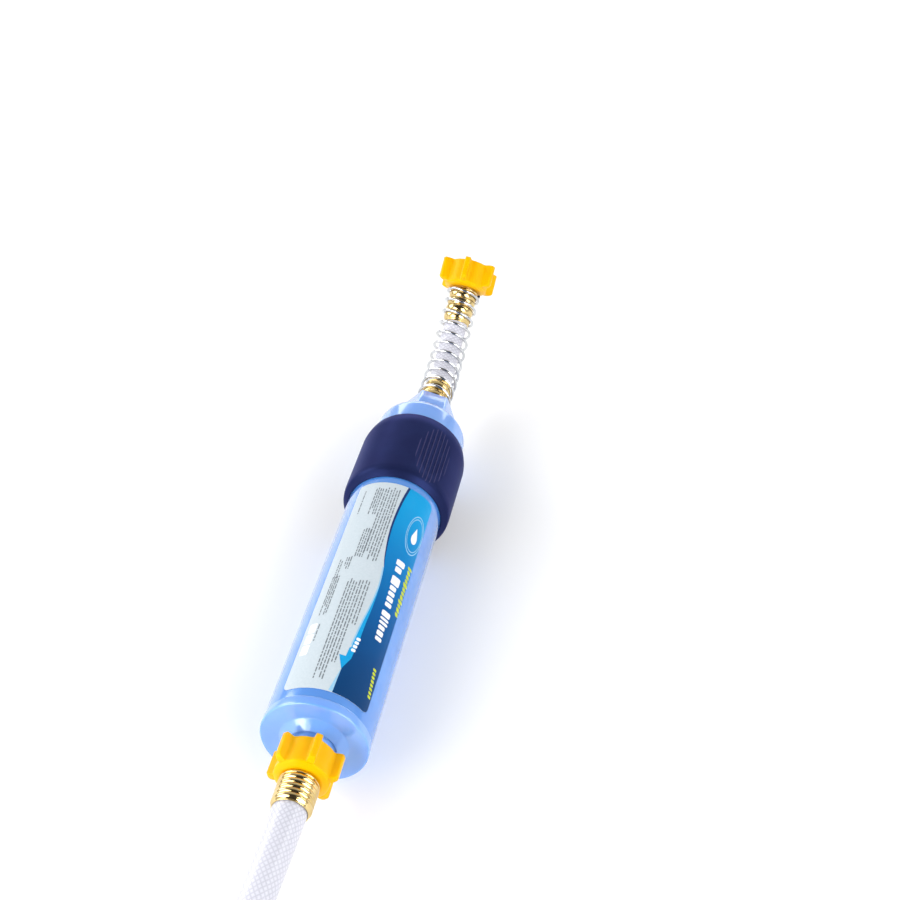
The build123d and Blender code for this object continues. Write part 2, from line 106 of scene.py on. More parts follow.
def sky_ramp(source, stops):
    made = world_nodes.new("ShaderNodeValToRGB")
    for element, (position, colour) in zip(made.color_ramp.elements, stops):
        element.position = position
        element.color = (*colour, 1)
    world_links.new(source, made.inputs[0])
    return made.outputs["Color"]


sky_mix = world_nodes.new("ShaderNodeMix")
sky_mix.data_type = "RGBA"
sky_mix.blend_type = "MULTIPLY"
sky_mix.inputs[0].default_value = 1.0
world_links.new(sky_ramp(sky_split.outputs["Z"], ((0.05, (0.70, 0.71, 0.73)), (0.8, (0.66, 0.67, 0.69)))), sky_mix.inputs[6])
world_links.new(sky_ramp(sky_side.outputs["Value"], ((0.45, (1.0, 1.0, 1.0)), (0.88, (0.08, 0.08, 0.09)))), sky_mix.inputs[7])
world_links.new(sky_mix.outputs[2], background.inputs["Color"])


# ------------------------------------------------------------------ material kit
class Paint:
    """A Principled material and short calls for the nodes that feed it."""

    def __init__(self, name, **sockets):
        self.material = bpy.data.materials.new(name)
        self.material.use_nodes = True
        self.tree = self.material.node_tree
        self.shader = self.tree.nodes["Principled BSDF"]
        for key, value in sockets.items():
            socket = self.shader.inputs[key.replace("_", " ")]
            if isinstance(value, tuple) and len(value) == 3 and socket.type == "RGBA":
                value = (*value, 1)
            socket.default_value = value

    def node(self, kind, **settings):
        made = self.tree.nodes.new("ShaderNode" + kind)
        for key, value in settings.items():
            setattr(made, key, value)
        return made

    def join(self, source, target):
        self.tree.links.new(source, target)

    def coordinate(self, which="Object", scale=(1, 1, 1)):
        place = self.node("TexCoord")
        stretch = self.node("Mapping")
        stretch.inputs["Scale"].default_value = scale
        self.join(place.outputs[which], stretch.inputs["Vector"])
        return stretch.outputs["Vector"]

    def noise(self, vector, scale, detail=4.0, roughness=0.55):
        made = self.node("TexNoise")
        made.inputs["Scale"].default_value = scale
        made.inputs["Detail"].default_value = detail
        made.inputs["Roughness"].default_value = roughness
        self.join(vector, made.inputs["Vector"])
        return made.outputs["Fac"]

    def math(self, operation, a, b=None, clamp=False):
        made = self.node("Math", operation=operation, use_clamp=clamp)
        for socket, value in zip(made.inputs, (a, b)):
            if value is None:
                continue
            if isinstance(value, (int, float)):
                socket.default_value = value
            else:
                self.join(value, socket)
        return made.outputs[0]

    def ramp(self, value, stops, interpolation="LINEAR"):
        made = self.node("ValToRGB")
        band = made.color_ramp
        band.interpolation = interpolation
        while len(band.elements) < len(stops):
            band.elements.new(0.5)
        for element, (position, colour) in zip(band.elements, stops):
            element.position = position
            element.color = (*colour, 1) if len(colour) == 3 else colour
        self.join(value, made.inputs[0])
        return made.outputs["Color"]

    def mix(self, factor, a, b, blend="MIX"):
        made = self.node("Mix", data_type="RGBA", blend_type=blend)
        for socket, value in zip((made.inputs[0], made.inputs[6], made.inputs[7]), (factor, a, b)):
            if isinstance(value, (int, float)):
                socket.default_value = value
            elif isinstance(value, tuple):
                socket.default_value = (*value, 1)
            else:
                self.join(value, socket)
        return made.outputs[2]

    def bump(self, height, strength, distance):
        made = self.node("Bump")
        made.inputs["Strength"].default_value = strength
        made.inputs["Distance"].default_value = distance
        self.join(height, made.inputs["Height"])
        self.join(made.outputs["Normal"], self.shader.inputs["Normal"])

    def colour(self, output):
        self.join(output, self.shader.inputs["Base Color"])

    def rough(self, value, low, high):
        scaled = self.node("MapRange")
        scaled.inputs["To Min"].default_value = low
        scaled.inputs["To Max"].default_value = high
        self.join(value, scaled.inputs["Value"])
        self.join(scaled.outputs["Result"], self.shader.inputs["Roughness"])


def moulded(name, low, high, roughness=(0.18, 0.3), grain=900, depth=0.00003, **extra):
    """A moulded plastic: cloudy colour, fine grain and uneven gloss."""
    paint = Paint(name, **extra)
    place = paint.coordinate()
    cloud = paint.noise(place, 35, 3)
    paint.colour(paint.ramp(cloud, [(0.3, low), (0.7, high)]))
    fine = paint.noise(place, grain, 3)
    paint.rough(fine, *roughness)
    paint.bump(fine, 0.25, depth)
    return paint.material


def turned_metal(name, low, high, roughness=(0.08, 0.24)):
    """A turned metal: faint streaks round the axis, a little tarnish and uneven polish."""
    paint = Paint(name, Metallic=1.0)
    place = paint.coordinate()
    stain = paint.noise(place, 120, 5)
    paint.colour(paint.ramp(stain, [(0.3, low), (0.65, high)]))
    streak = paint.noise(paint.coordinate(scale=(1, 14, 1)), 260, 4)
    paint.rough(streak, *roughness)
    paint.bump(streak, 0.04, 0.00001)
    return paint.material


canister_blue = moulded(
    "canister_blue", (0.050, 0.20, 0.58), (0.066, 0.24, 0.64), (0.10, 0.2), 500, 0.00002,
    Coat_Weight=0.8, Coat_Roughness=0.05, Coat_IOR=1.6,
    Subsurface_Weight=0.25, Subsurface_Radius=(0.4, 0.7, 1.0), Subsurface_Scale=0.006,
)
# The caps use a lighter, whiter copy of the canister blue. The extra lightness is painted light, standing for the front
# light and whitish sheen on the caps.
cap_blue = moulded(
    "cap_blue", (0.125, 0.29, 0.71), (0.15, 0.33, 0.75), (0.14, 0.26), 700, 0.00003,
    Coat_Weight=0.8, Coat_Roughness=0.06, Coat_IOR=1.6,
    Subsurface_Weight=0.3, Subsurface_Radius=(0.4, 0.7, 1.0), Subsurface_Scale=0.008,
)
nut_yellow = moulded(
    "nut_yellow", (0.81, 0.40, 0.0), (0.85, 0.44, 0.001), (0.30, 0.44), 1500, 0.00004,
    Specular_IOR_Level=0.3, Specular_Tint=(1.0, 0.75, 0.1), Subsurface_Weight=0.3,
    Subsurface_Radius=(1.0, 0.45, 0.05), Subsurface_Scale=0.003,
)
washer_black = moulded("washer_black", (0.012, 0.012, 0.012), (0.022, 0.022, 0.022), (0.5, 0.7), 1800)
inner_white = moulded("inner_white", (0.75, 0.78, 0.80), (0.84, 0.86, 0.88), (0.4, 0.55), 800)
brass_bright = turned_metal("brass_bright", (0.62, 0.44, 0.16), (0.78, 0.60, 0.28), (0.07, 0.13))
spring_steel = turned_metal("spring_steel", (0.50, 0.51, 0.53), (0.72, 0.73, 0.75), (0.06, 0.12))


def braided(name, around, pitch, low, high):
    """Clear vinyl over a white braid: yarns that cross, with thin gaps between them."""
    paint = Paint(name, Roughness=0.32, Coat_Weight=0.5, Coat_Roughness=0.2, Specular_IOR_Level=0.4)
    place = paint.node("UVMap")
    place.uv_map = "UVMap"
    split = paint.node("SeparateXYZ")
    paint.join(place.outputs["UV"], split.inputs[0])
    turn = paint.math("MULTIPLY", split.outputs["X"], around)
    run = paint.math("DIVIDE", split.outputs["Y"], pitch)
    wander = paint.math("MULTIPLY", paint.noise(paint.coordinate(), 160, 2), 0.35)
    yarns = []
    for sign in ("ADD", "SUBTRACT"):
        phase = paint.math("ADD", paint.math(sign, turn, run), wander)
        wave = paint.math("SINE", paint.math("MULTIPLY", phase, math.pi))
        yarns.append(paint.math("POWER", paint.math("ABSOLUTE", wave), 0.45))
    weave = paint.math("MULTIPLY", paint.math("MINIMUM", *yarns), 0.75)
    fibre = paint.math("MULTIPLY", paint.noise(paint.coordinate(), 1500, 3), 0.45)
    both = paint.math("ADD", weave, fibre)
    middle = tuple((a + b) / 2 for a, b in zip(low, high))
    paint.colour(paint.ramp(both, [(0.3, low), (0.7, middle), (1.0, high)]))
    paint.bump(both, 0.4, 0.0003)
    return paint.material


hose_braid = braided("hose_braid", 20, 3.4, (0.42, 0.42, 0.48), (0.62, 0.62, 0.68))
guard_braid = braided("guard_braid", 14, 3.2, (0.46, 0.45, 0.52), (0.74, 0.74, 0.80))


# ------------------------------------------------------------------ mesh kit
def build(name, verts, faces, material, body="filter", slot=None, nodes=(), sharp=38, uvs=None):
    """A mesh from millimetre points. uvs holds one (u, v) for each corner of each face."""
    mesh = bpy.data.meshes.new(name)
    mesh.from_pydata([tuple(c * MM for c in v) for v in verts], [], faces)
    if uvs is not None:
        layer = mesh.uv_layers.new(name="UVMap")
        flat = [uv for face in uvs for uv in face]
        for loop, uv in zip(layer.data, flat):
            loop.uv = uv
    work = bmesh.new()
    work.from_mesh(mesh)
    bmesh.ops.recalc_face_normals(work, faces=work.faces)
    work.to_mesh(mesh)
    work.free()
    mesh.shade_smooth()
    mesh.set_sharp_from_angle(angle=math.radians(sharp))
    mesh.materials.append(material)
    made = bpy.data.objects.new(name, mesh)
    bpy.context.scene.collection.objects.link(made)
    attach(made, body)
    if nodes:
        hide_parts(*nodes)
    return made


def merge(parts):
    """Several (verts, faces) as one."""
    verts, faces = [], []
    for some_verts, some_faces in parts:
        base = len(verts)
        verts.extend(some_verts)
        faces.extend([tuple(i + base for i in face) for face in some_faces])
    return verts, faces


def rounded(points, steps=5):
    """A closed outline whose corners (x, y, r) are rounded by about r."""
    out = []
    for i, point in enumerate(points):
        corner = Vector(point[:2])
        reach = point[2] if len(point) > 2 else 0
        if not reach:
            out.append(tuple(corner))
            continue
        back = Vector(points[i - 1][:2]) - corner
        on = Vector(points[(i + 1) % len(points)][:2]) - corner
        reach = min(reach, 0.48 * back.length, 0.48 * on.length)
        start = corner + back.normalized() * reach
        end = corner + on.normalized() * reach
        for k in range(steps + 1):
            t = k / steps
            out.append(tuple(start * (1 - t) ** 2 + corner * (2 * t * (1 - t)) + end * t**2))
    return out


class Place:
    """Where a turned piece stands: an origin, an axis and two directions across it."""

    def __init__(self, origin, axis=(0, 1, 0), right=(1, 0, 0)):
        self.origin = Vector(origin)
        self.axis = Vector(axis).normalized()
        right = Vector(right)
        self.right = (right - self.axis * right.dot(self.axis)).normalized()
        self.up = self.right.cross(self.axis)

    def point(self, x, y, w):
        return self.origin + self.right * x + self.up * y + self.axis * w

    def polar(self, r, angle, w):
        return self.point(r * math.cos(angle), r * math.sin(angle), w)


def lathe(outline, place, segments=96):
    """A closed outline of (radius, w) turned about the place's axis."""
    verts, faces = [], []
    count = len(outline)
    for i in range(segments):
        angle = 2 * math.pi * i / segments
        verts.extend(place.polar(r, angle, w) for r, w in outline)
    for i in range(segments):
        here, there = i * count, (i + 1) % segments * count
        for j in range(count):
            k = (j + 1) % count
            faces.append((here + j, here + k, there + k, there + j))
    return verts, faces


def turned(name, outline, place, material, segments=96, **more):
    verts, faces = lathe(outline, place, segments)
    return build(name, verts, faces, material, **more)


def lofted(rings, closed=True):
    """Rings of equally many points joined in order, and the last to the first if closed."""
    verts, faces = [], []
    count = len(rings[0])
    for ring in rings:
        verts.extend(ring)
    for i in range(len(rings) if closed else len(rings) - 1):
        here, there = i * count, (i + 1) % len(rings) * count
        for j in range(count):
            k = (j + 1) % count
            faces.append((here + j, here + k, there + k, there + j))
    return verts, faces


def thread(place, root, crest, start, end, reference=0.0, pitch=2.2087, per_turn=64):
    """A right-handed helical ridge along the place's axis. It passes angle 0 at the reference."""
    verts, faces = [], []
    steps = int((end - start) / pitch * per_turn)
    sink = math.copysign(0.25, root - crest)
    for i in range(steps + 1):
        part = i / steps
        middle = start + (end - start) * part
        angle = -2 * math.pi * (middle - reference) / pitch
        top = root + (crest - root) * min(1.0, 6 * part, 6 * (1 - part))
        foot, head = pitch * 0.30, pitch * 0.12
        shape = ((sink, -foot), (0, -foot), (top - root, -head), (top - root, head), (0, foot), (sink, foot))
        verts.extend(place.polar(root + r, angle, middle + w) for r, w in shape)
    for i in range(steps):
        for j in range(6):
            k = (j + 1) % 6
            faces.append((i * 6 + j, i * 6 + k, i * 6 + 6 + k, i * 6 + 6 + j))
    faces.append(tuple(range(6)))
    faces.append(tuple(steps * 6 + j for j in reversed(range(6))))
    return verts, faces


def smooth_line(name, controls, resolution=24):
    """The line of a NURBS spline with those control points, in millimetres."""
    curve = bpy.data.curves.new(name, "CURVE")
    curve.dimensions = "3D"
    spline = curve.splines.new("NURBS")
    spline.points.add(len(controls) - 1)
    for point, control in zip(spline.points, controls):
        point.co = (*(Vector(control) * MM), 1)
    spline.order_u = 3
    spline.use_endpoint_u = True
    spline.resolution_u = resolution
    holder = bpy.data.objects.new(name, curve)
    bpy.context.scene.collection.objects.link(holder)
    line = bpy.data.meshes.new_from_object(holder.evaluated_get(bpy.context.evaluated_depsgraph_get()))
    points = [v.co / MM for v in line.vertices]
    bpy.data.objects.remove(holder)
    bpy.data.meshes.remove(line)
    return points


def along(points, step):
    """The same line with points a step apart, and the distance of each from its start."""
    total = [0.0]
    for a, b in zip(points, points[1:]):
        total.append(total[-1] + (b - a).length)
    count = max(2, round(total[-1] / step))
    out, reach, j = [], [], 0
    for i in range(count + 1):
        want = total[-1] * i / count
        while j < len(total) - 2 and total[j + 1] < want:
            j += 1
        span = total[j + 1] - total[j]
        out.append(points[j].lerp(points[j + 1], (want - total[j]) / span if span else 0))
        reach.append(want)
    return out, reach


def carried(points, side=(1, 0, 0)):
    """A direction, a right and an up at each point, without twist."""
    frames = []
    right = Vector(side)
    for i, point in enumerate(points):
        ahead = (points[min(i + 1, len(points) - 1)] - points[max(i - 1, 0)]).normalized()
        right = (right - ahead * right.dot(ahead)).normalized()
        frames.append((point, ahead, right, right.cross(ahead)))
    return frames


def tube(points, radius, segments=32, bore=None, step=2.0):
    """A round tube along a line, with (u, v) as the share of a turn and the distance along."""
    line, reach = along(points, step)
    frames = carried(line)
    rings = []
    order = [(radius, list(range(len(frames))))]
    if bore:
        order.append((bore, list(reversed(range(len(frames))))))
    for r, indices in order:
        for i in indices:
            point, _, right, up = frames[i]
            rings.append(
                (
                    [
                        point + (right * math.cos(a) + up * math.sin(a)) * r
                        for a in (2 * math.pi * k / segments for k in range(segments))
                    ],
                    reach[i],
                )
            )
    verts = [v for ring, _ in rings for v in ring]
    faces, uvs = [], []
    last = len(rings) if bore else len(rings) - 1
    for i in range(last):
        n = (i + 1) % len(rings)
        for j in range(segments):
            k = (j + 1) % segments
            faces.append((i * segments + j, i * segments + k, n * segments + k, n * segments + j))
            u0, u1 = j / segments, (j + 1) / segments
            v0, v1 = rings[i][1], rings[n][1]
            uvs.append(((u0, v0), (u1, v0), (u1, v1), (u0, v1)))
    if not bore:
        faces.append(tuple(range(segments)))
        faces.append(tuple((len(rings) - 1) * segments + j for j in range(segments)))
        uvs.extend([[(0, 0)] * segments, [(0, 0)] * segments])
    return verts, faces, uvs


outlet_end = at(-29.4)

# ------------------------------------------------------------------ canister
canister = Place(at(0))
turned(
    "canister_shell",
    rounded([(29.25, 6.0), (31.75, 6.0, 0.4), (31.75, 258.0, 0.4), (29.25, 258.0)]),
    canister, canister_blue, 160, slot="canister_blue", nodes=("canister_tube",),
)

cap_shape = lathe(
    rounded(
        [
            (9.5, -18.6, 0.4), (12.1, -18.6, 0.5), (12.3, -17.9), (12.3, -9.2, 0.5), (13.3, -8.8, 0.3),
            (13.3, -3.7, 0.2), (14.1, -3.7, 0.2), (14.3, -4.5, 0.5), (20.6, -0.1, 0.8), (26.0, 0.15, 2.0),
            (31.5, -0.1, 0.35), (32.0, 0.5, 0.4), (32.1, 3.0, 1.2), (32.1, 5.6, 0.5), (31.7, 6.0), (29.2, 6.0), (29.2, 8.95),
            (26.75, 8.95), (26.75, 3.0), (17.5, 1.5), (9.5, -1.5),
        ]
    ),
    canister, 160,
)
build(
    "outlet_cap", *merge([cap_shape, thread(canister, 12.3, 13.4, -17.4, -9.6)]), cap_blue,
    slot="cap_blue", nodes=("outlet_end_cap",),
)


def hexagon(angle, corner):
    """The radius of a hexagon with blunted corners, one facet facing 76 degrees."""
    off = (math.degrees(angle) - 76.0 + 30.0) % 60.0 - 30.0
    return min(corner * math.cos(math.radians(30)) / math.cos(math.radians(off)), corner - 0.42)


inlet_steps = [(258.0, 31.75, 0), (259.0, 31.85, 0), (285.6, 31.75, 0)]
for k in range(1, 9):
    lean = math.radians(78 * k / 8)
    inlet_steps.append((285.6 + 9 * math.sin(lean), 22.75 + 9 * math.cos(lean), 0))
inlet_steps += [(294.9, 23.7, 0), (295.5, 23.3, 0), (295.7, 22.5, 0), (295.5, 21.9, 0), (296.3, 21.4, 0.1)]
inlet_steps += [(297.6, 20.9, 0.35), (299.2, 20.5, 0.65), (301.0, 20.2, 0.9), (303.0, 19.9, 1), (306.0, 19.7, 1)]
inlet_steps += [(319.8, 19.25, 1), (320.3, 19.05, 1), (320.5, 18.6, 1)]
inlet_steps += [(320.5, 14.2, 0), (319.9, 13.6, 0), (305.0, 13.6, 0), (305.0, 9.5, 0), (290.6, 9.5, 0)]
inlet_steps += [(289.6, 24.3, 0), (283.1, 29.25, 0), (258.0, 29.25, 0)]
rings = []
for w, size, six in inlet_steps:
    ring = []
    for k in range(180):
        angle = 2 * math.pi * k / 180
        radius = size + (hexagon(angle, size) - size) * six if six else size
        ring.append(canister.polar(radius, angle, w))
    rings.append(ring)
build("inlet_cap", *lofted(rings), cap_blue, slot="cap_blue", nodes=("inlet_end_cap",), sharp=30)

# ------------------------------------------------------------------ grip sleeve

sleeve_paint = Paint("sleeve_navy", Metallic=0.45, Specular_IOR_Level=0.1, Specular_Tint=(0.3, 0.4, 1.0))
sleeve_place = sleeve_paint.coordinate()
sleeve_split = sleeve_paint.node("SeparateXYZ")
sleeve_paint.join(sleeve_place, sleeve_split.inputs[0])
sleeve_high = sleeve_paint.math("SUBTRACT", sleeve_split.outputs["Z"], AXIS_Z * MM)
sleeve_angle = sleeve_paint.math("ARCTAN2", sleeve_high, sleeve_split.outputs["X"])
sleeve_run = sleeve_paint.math("DIVIDE", sleeve_paint.math("SUBTRACT", sleeve_split.outputs["Y"], (RIM_Y + 233.0) * MM), 0.0272)
# Painted highlight: this picks out the nine ridge lines of each grip patch, which are coloured lighter to stand for the
# light the raised ridges catch.
ridge_highlight_masks = []
for centre in (54.1, 234.1 - 360):
    off = sleeve_paint.math("SUBTRACT", sleeve_angle, math.radians(centre))
    steps_off = sleeve_paint.math("DIVIDE", off, math.radians(4.78))
    wrapped = sleeve_paint.math("ABSOLUTE", sleeve_paint.math("SUBTRACT", steps_off, sleeve_paint.math("ROUND", steps_off)))
    ridge = sleeve_paint.math("LESS_THAN", wrapped, 0.10)
    across = sleeve_paint.math("DIVIDE", off, math.radians(20.6))
    square = sleeve_paint.math("ADD", sleeve_paint.math("POWER", sleeve_paint.math("ABSOLUTE", across), 2.0), sleeve_paint.math("POWER", sleeve_paint.math("ABSOLUTE", sleeve_run), 2.0))
    inside = sleeve_paint.math("LESS_THAN", square, 0.98)
    ridge_highlight_masks.append(sleeve_paint.math("MULTIPLY", ridge, inside))
ridge_highlight_mask = sleeve_paint.math("MAXIMUM", *ridge_highlight_masks)
sleeve_fine = sleeve_paint.noise(sleeve_place, 2600, 3)
sleeve_cloud = sleeve_paint.ramp(sleeve_paint.noise(sleeve_place, 35, 3), [(0.3, (0.011, 0.015, 0.060)), (0.7, (0.014, 0.021, 0.076))])
# The ridge lines get a lighter navy, a painted highlight on the ridges.
sleeve_paint.colour(sleeve_paint.mix(ridge_highlight_mask, sleeve_cloud, (0.055, 0.05, 0.12)))
sleeve_paint.rough(sleeve_fine, 0.33, 0.46)
sleeve_paint.bump(sleeve_fine, 0.2, 0.00005)
sleeve_navy = sleeve_paint.material

LINE_STEP = 4.78
PATCH_S = 233.0


def groove(angle, w):
    """How deep the sleeve is cut at a place: nine thin ridges stand between wide grooves."""
    for centre in (54.1, 234.1):
        off = (angle - centre + 180) % 360 - 180
        if abs(off) > 4 * LINE_STEP + 0.3:
            continue
        inside = 1 - math.hypot((w - PATCH_S) / 27.4, off / 20.7)
        edge = min(1.0, max(0.0, inside * 3))
        line = abs((off / LINE_STEP) % 1 - 0.5) * 2
        wall = min(1.0, max(0.0, (0.84 - line) / 0.2))
        return 0.6 * edge * wall * wall * (3 - 2 * wall)
    return 0.0


sleeve_angles = []
spin = 0.0
while spin < 360:
    near = min(abs(spin - 54.1), abs(spin - 234.1))
    sleeve_angles.append(spin)
    spin += 0.4 if near < 20.5 else 3.0
outer = rounded(
    [(31.82, 202.3), (32.3, 202.0, 0.3), (36.15, 206.4, 1.6), (36.6, 210.0, 3.0), (36.6, 262.0, 8.0), (34.7, 269.4, 0.8), (31.82, 269.4)],
    6,
)
fine = []
for (r0, w0), (r1, w1) in zip(outer, outer[1:] + outer[:1]):
    parts = max(1, int(abs(w1 - w0) / 0.9)) if r0 > 33 and r1 > 33 else 1
    fine += [(r0 + (r1 - r0) * k / parts, w0 + (w1 - w0) * k / parts) for k in range(parts)]
rings = [
    [canister.polar(r - (groove(a, w) if r > 35 else 0), math.radians(a), w) for a in sleeve_angles]
    for r, w in fine
]
build("sleeve", *lofted(rings), sleeve_navy, slot="sleeve_navy", nodes=("grip_sleeve",), sharp=50)

# ------------------------------------------------------------------ label
FILM_R = 31.98


def patch(s_values, low, high, level, across=24, thick=0.02):
    """A thin closed film between two edges, each an angle in degrees for a distance s."""
    verts, faces = [], []
    for radius in (level + thick, level):
        for s in s_values:
            a, b = low(s), high(s)
            for j in range(across + 1):
                verts.append(canister.polar(radius, math.radians(a + (b - a) * j / across), s))
    rows, width = len(s_values), across + 1
    below = rows * width
    for i in range(rows - 1):
        for j in range(across):
            one = i * width + j
            faces.append((one, one + 1, one + width + 1, one + width))
            faces.append((below + one, below + one + width, below + one + width + 1, below + one + 1))
    rim = [j for j in range(width)] + [i * width + across for i in range(1, rows)]
    rim += [(rows - 1) * width + j for j in reversed(range(across))]
    rim += [i * width for i in reversed(range(1, rows - 1))]
    for one, two in zip(rim, rim[1:] + rim[:1]):
        faces.append((one, two, below + two, below + one))
    return verts, faces


def spread(start, end, count):
    return [start + (end - start) * k / count for k in range(count + 1)]


def curve(points):
    """A smooth function through (s, angle) points, with s rising."""

    def value(s):
        k = 0
        while k < len(points) - 2 and points[k + 1][0] < s:
            k += 1
        (s0, a0), (s1, a1) = points[k], points[k + 1]
        before = points[max(k - 1, 0)]
        after = points[min(k + 2, len(points) - 1)]
        t = min(1.0, max(0.0, (s - s0) / (s1 - s0)))
        m0 = (a1 - before[1]) / (s1 - before[0]) * (s1 - s0)
        m1 = (after[1] - a0) / (after[0] - s0) * (s1 - s0)
        return (
            (2 * t**3 - 3 * t**2 + 1) * a0 + (t**3 - 2 * t**2 + t) * m0 + (3 * t**2 - 2 * t**3) * a1 + (t**3 - t**2) * m1
        )

    return value


def corner(s, first=12.0, last=196.0, radius=4.0):
    """How far the label's rounded corners draw its edges in, in degrees."""
    near = min(s - first, last - s)
    if near >= radius:
        return 0.0
    return math.degrees((radius - math.sqrt(max(0.0, radius**2 - (radius - near) ** 2))) / BODY_R)


def disc(s, angle, half_s, half_angle, level, inner=0.0, across=10):
    """An oval, or an oval ring if inner is over 0."""
    if not inner:
        values = [s + half_s * math.sin(math.radians(t)) for t in range(-90, 91, 9)]
        reach = lambda v: half_angle * math.sqrt(max(0.0, 1 - ((v - s) / half_s) ** 2)) + 0.01
        return patch(values, lambda v: angle - reach(v), lambda v: angle + reach(v), level, across)
    verts, faces = [], []
    for k in range(48):
        turn = 2 * math.pi * k / 48
        for part, lift in ((1, 0), (1, 0.02), (inner, 0.02), (inner, 0)):
            verts.append(
                canister.polar(
                    level + lift, math.radians(angle + half_angle * part * math.cos(turn)), s + half_s * part * math.sin(turn)
                )
            )
    for k in range(48):
        for j in range(4):
            n = (k + 1) % 48
            faces.append((k * 4 + j, k * 4 + (j + 1) % 4, n * 4 + (j + 1) % 4, n * 4 + j))
    return verts, faces


def bar(s0, s1, angle, height, level, lean=0.0):
    """A short block along s, height in millimetres, its middle at an angle. lean slants it."""
    half = math.degrees(height / 2 / BODY_R)
    low, high = min(s0, s1), max(s0, s1)
    soft = min(0.25 * (high - low), 0.5)
    values = [low, low + soft, high - soft, high]
    pull = lambda v: 0.3 if v in (low, high) else 0.0
    middle = lambda v: angle + lean * (v - (low + high) / 2)
    return patch(values, lambda v: middle(v) - half * (1 - pull(v)), lambda v: middle(v) + half * (1 - pull(v)), level, 3)


def ink(name, low, high, roughness=0.32):
    """Printed ink: slightly uneven colour, with the film's gloss."""
    paint = Paint(name, Roughness=roughness, Specular_IOR_Level=0.2)
    place = paint.coordinate()
    paint.colour(paint.ramp(paint.noise(place, 700, 4), [(0.3, low), (0.7, high)]))
    paint.bump(paint.noise(place, 90, 2), 0.15, 0.0001)
    return paint.material


film_white = ink("film_white", (0.47, 0.54, 0.58), (0.52, 0.58, 0.62))
ink_grey = ink("ink_grey", (0.13, 0.15, 0.17), (0.19, 0.21, 0.23))
ink_white = ink("ink_white", (0.74, 0.76, 0.78), (0.80, 0.81, 0.82))
ink_cyan = ink("ink_cyan", (0.0, 0.27, 0.58), (0.002, 0.31, 0.62))
ink_pale = ink("ink_pale", (0.25, 0.48, 0.66), (0.29, 0.52, 0.69))
ink_navy = ink("ink_navy", (0.0, 0.022, 0.12), (0.0, 0.028, 0.14))
ink_lime = ink("ink_lime", (0.42, 0.50, 0.01), (0.50, 0.56, 0.02))

field = Paint("ink_field", Roughness=0.32, Specular_IOR_Level=0.2, Specular_Tint=(0.3, 0.6, 1.0))
field_place = field.node("TexCoord")
field_split = field.node("SeparateXYZ")
field.join(field_place.outputs["Object"], field_split.inputs[0])
field_run = field.node("MapRange")
field_run.inputs["From Min"].default_value = (RIM_Y + 12) * MM
field_run.inputs["From Max"].default_value = (RIM_Y + 196) * MM
field.join(field_split.outputs["Y"], field_run.inputs["Value"])
field_blur = field.math("MULTIPLY_ADD", field.noise(field.coordinate(), 60, 3), 0.06)
field.join(field_run.outputs["Result"], field_blur.node.inputs[2])
field.colour(
    field.ramp(
        field_blur,
        [
            (0.05, (0.001, 0.035, 0.125)), (0.22, (0.001, 0.048, 0.17)), (0.45, (0.0, 0.090, 0.29)),
            (0.68, (0.0, 0.17, 0.44)), (0.95, (0.0, 0.29, 0.60)),
        ],
    )
)
field.bump(field.noise(field.coordinate(), 90, 2), 0.15, 0.0001)
ink_field = field.material

LOW, HIGH = 29.5, 129.0
border = curve(
    [(12, 73.8), (32, 72.6), (53.4, 69.8), (69.2, 67.7), (84.5, 64.9), (102.5, 63.2), (117.1, 64.9), (126.5, 67.5), (153.6, 70.9), (179.3, 69.0), (196, 65.2)]
)
label_rows = [12.0, 12.4, 13.2, 14.4, 16.0] + spread(18.0, 190.0, 86) + [192.0, 193.6, 194.8, 195.6, 196.0]
low_edge = lambda s: LOW + corner(s)
build(
    "label_film", *patch(label_rows, low_edge, lambda s: HIGH - corner(s), FILM_R - 0.15, 48, 0.15),
    film_white, slot="label_film", nodes=("label",),
)
build(
    "label_field", *patch(label_rows, lambda s: low_edge(s) + 0.02, border, FILM_R + 0.01),
    ink_field, slot="label_film",
)
swoosh = curve([(30, 2.5), (50, 3.4), (75, 2.0), (104, 0.05)])
stripe = curve([(120, 0.05), (140, 1.5), (170, 2.3), (196, 2.8)])
build(
    "label_swoosh",
    *patch(spread(42, 104, 40), lambda s: border(s) - swoosh(s) * 1.5, border, FILM_R + 0.035, 8),
    ink_cyan, slot="label_film",
)
build(
    "label_edge",
    *merge(
        [
            patch(spread(120, 195.9, 50), lambda s: border(s) - 0.2, lambda s: border(s) + stripe(s), FILM_R + 0.035, 6),
        ]
    ),
    ink_navy, slot="label_film",
)
build(
    "label_glow",
    *merge(
        [
            patch(spread(50, 119, 40), border, lambda s: border(s) + 1.6, FILM_R + 0.02, 4),
            patch(spread(12.6, 30, 12), border, lambda s: border(s) + 4.5 * (1 - (s - 12) / 20), FILM_R + 0.02, 4),
        ]
    ),
    ink_pale, slot="label_film",
)
arrow = merge(
    [
        patch(
            spread(30.5, 40.5, 10),
            lambda s: 73.0 - 6.6 * (s - 30.4) / 10, lambda s: 73.0 + 6.6 * (s - 30.4) / 10, FILM_R + 0.06, 6,
        ),
        patch(spread(40.0, 48.0, 6), lambda s: border(s) - 5.0, lambda s: border(s) + 1.2, FILM_R + 0.06, 6),
    ]
)
build("label_arrow", *arrow, ink_cyan, slot="label_film")

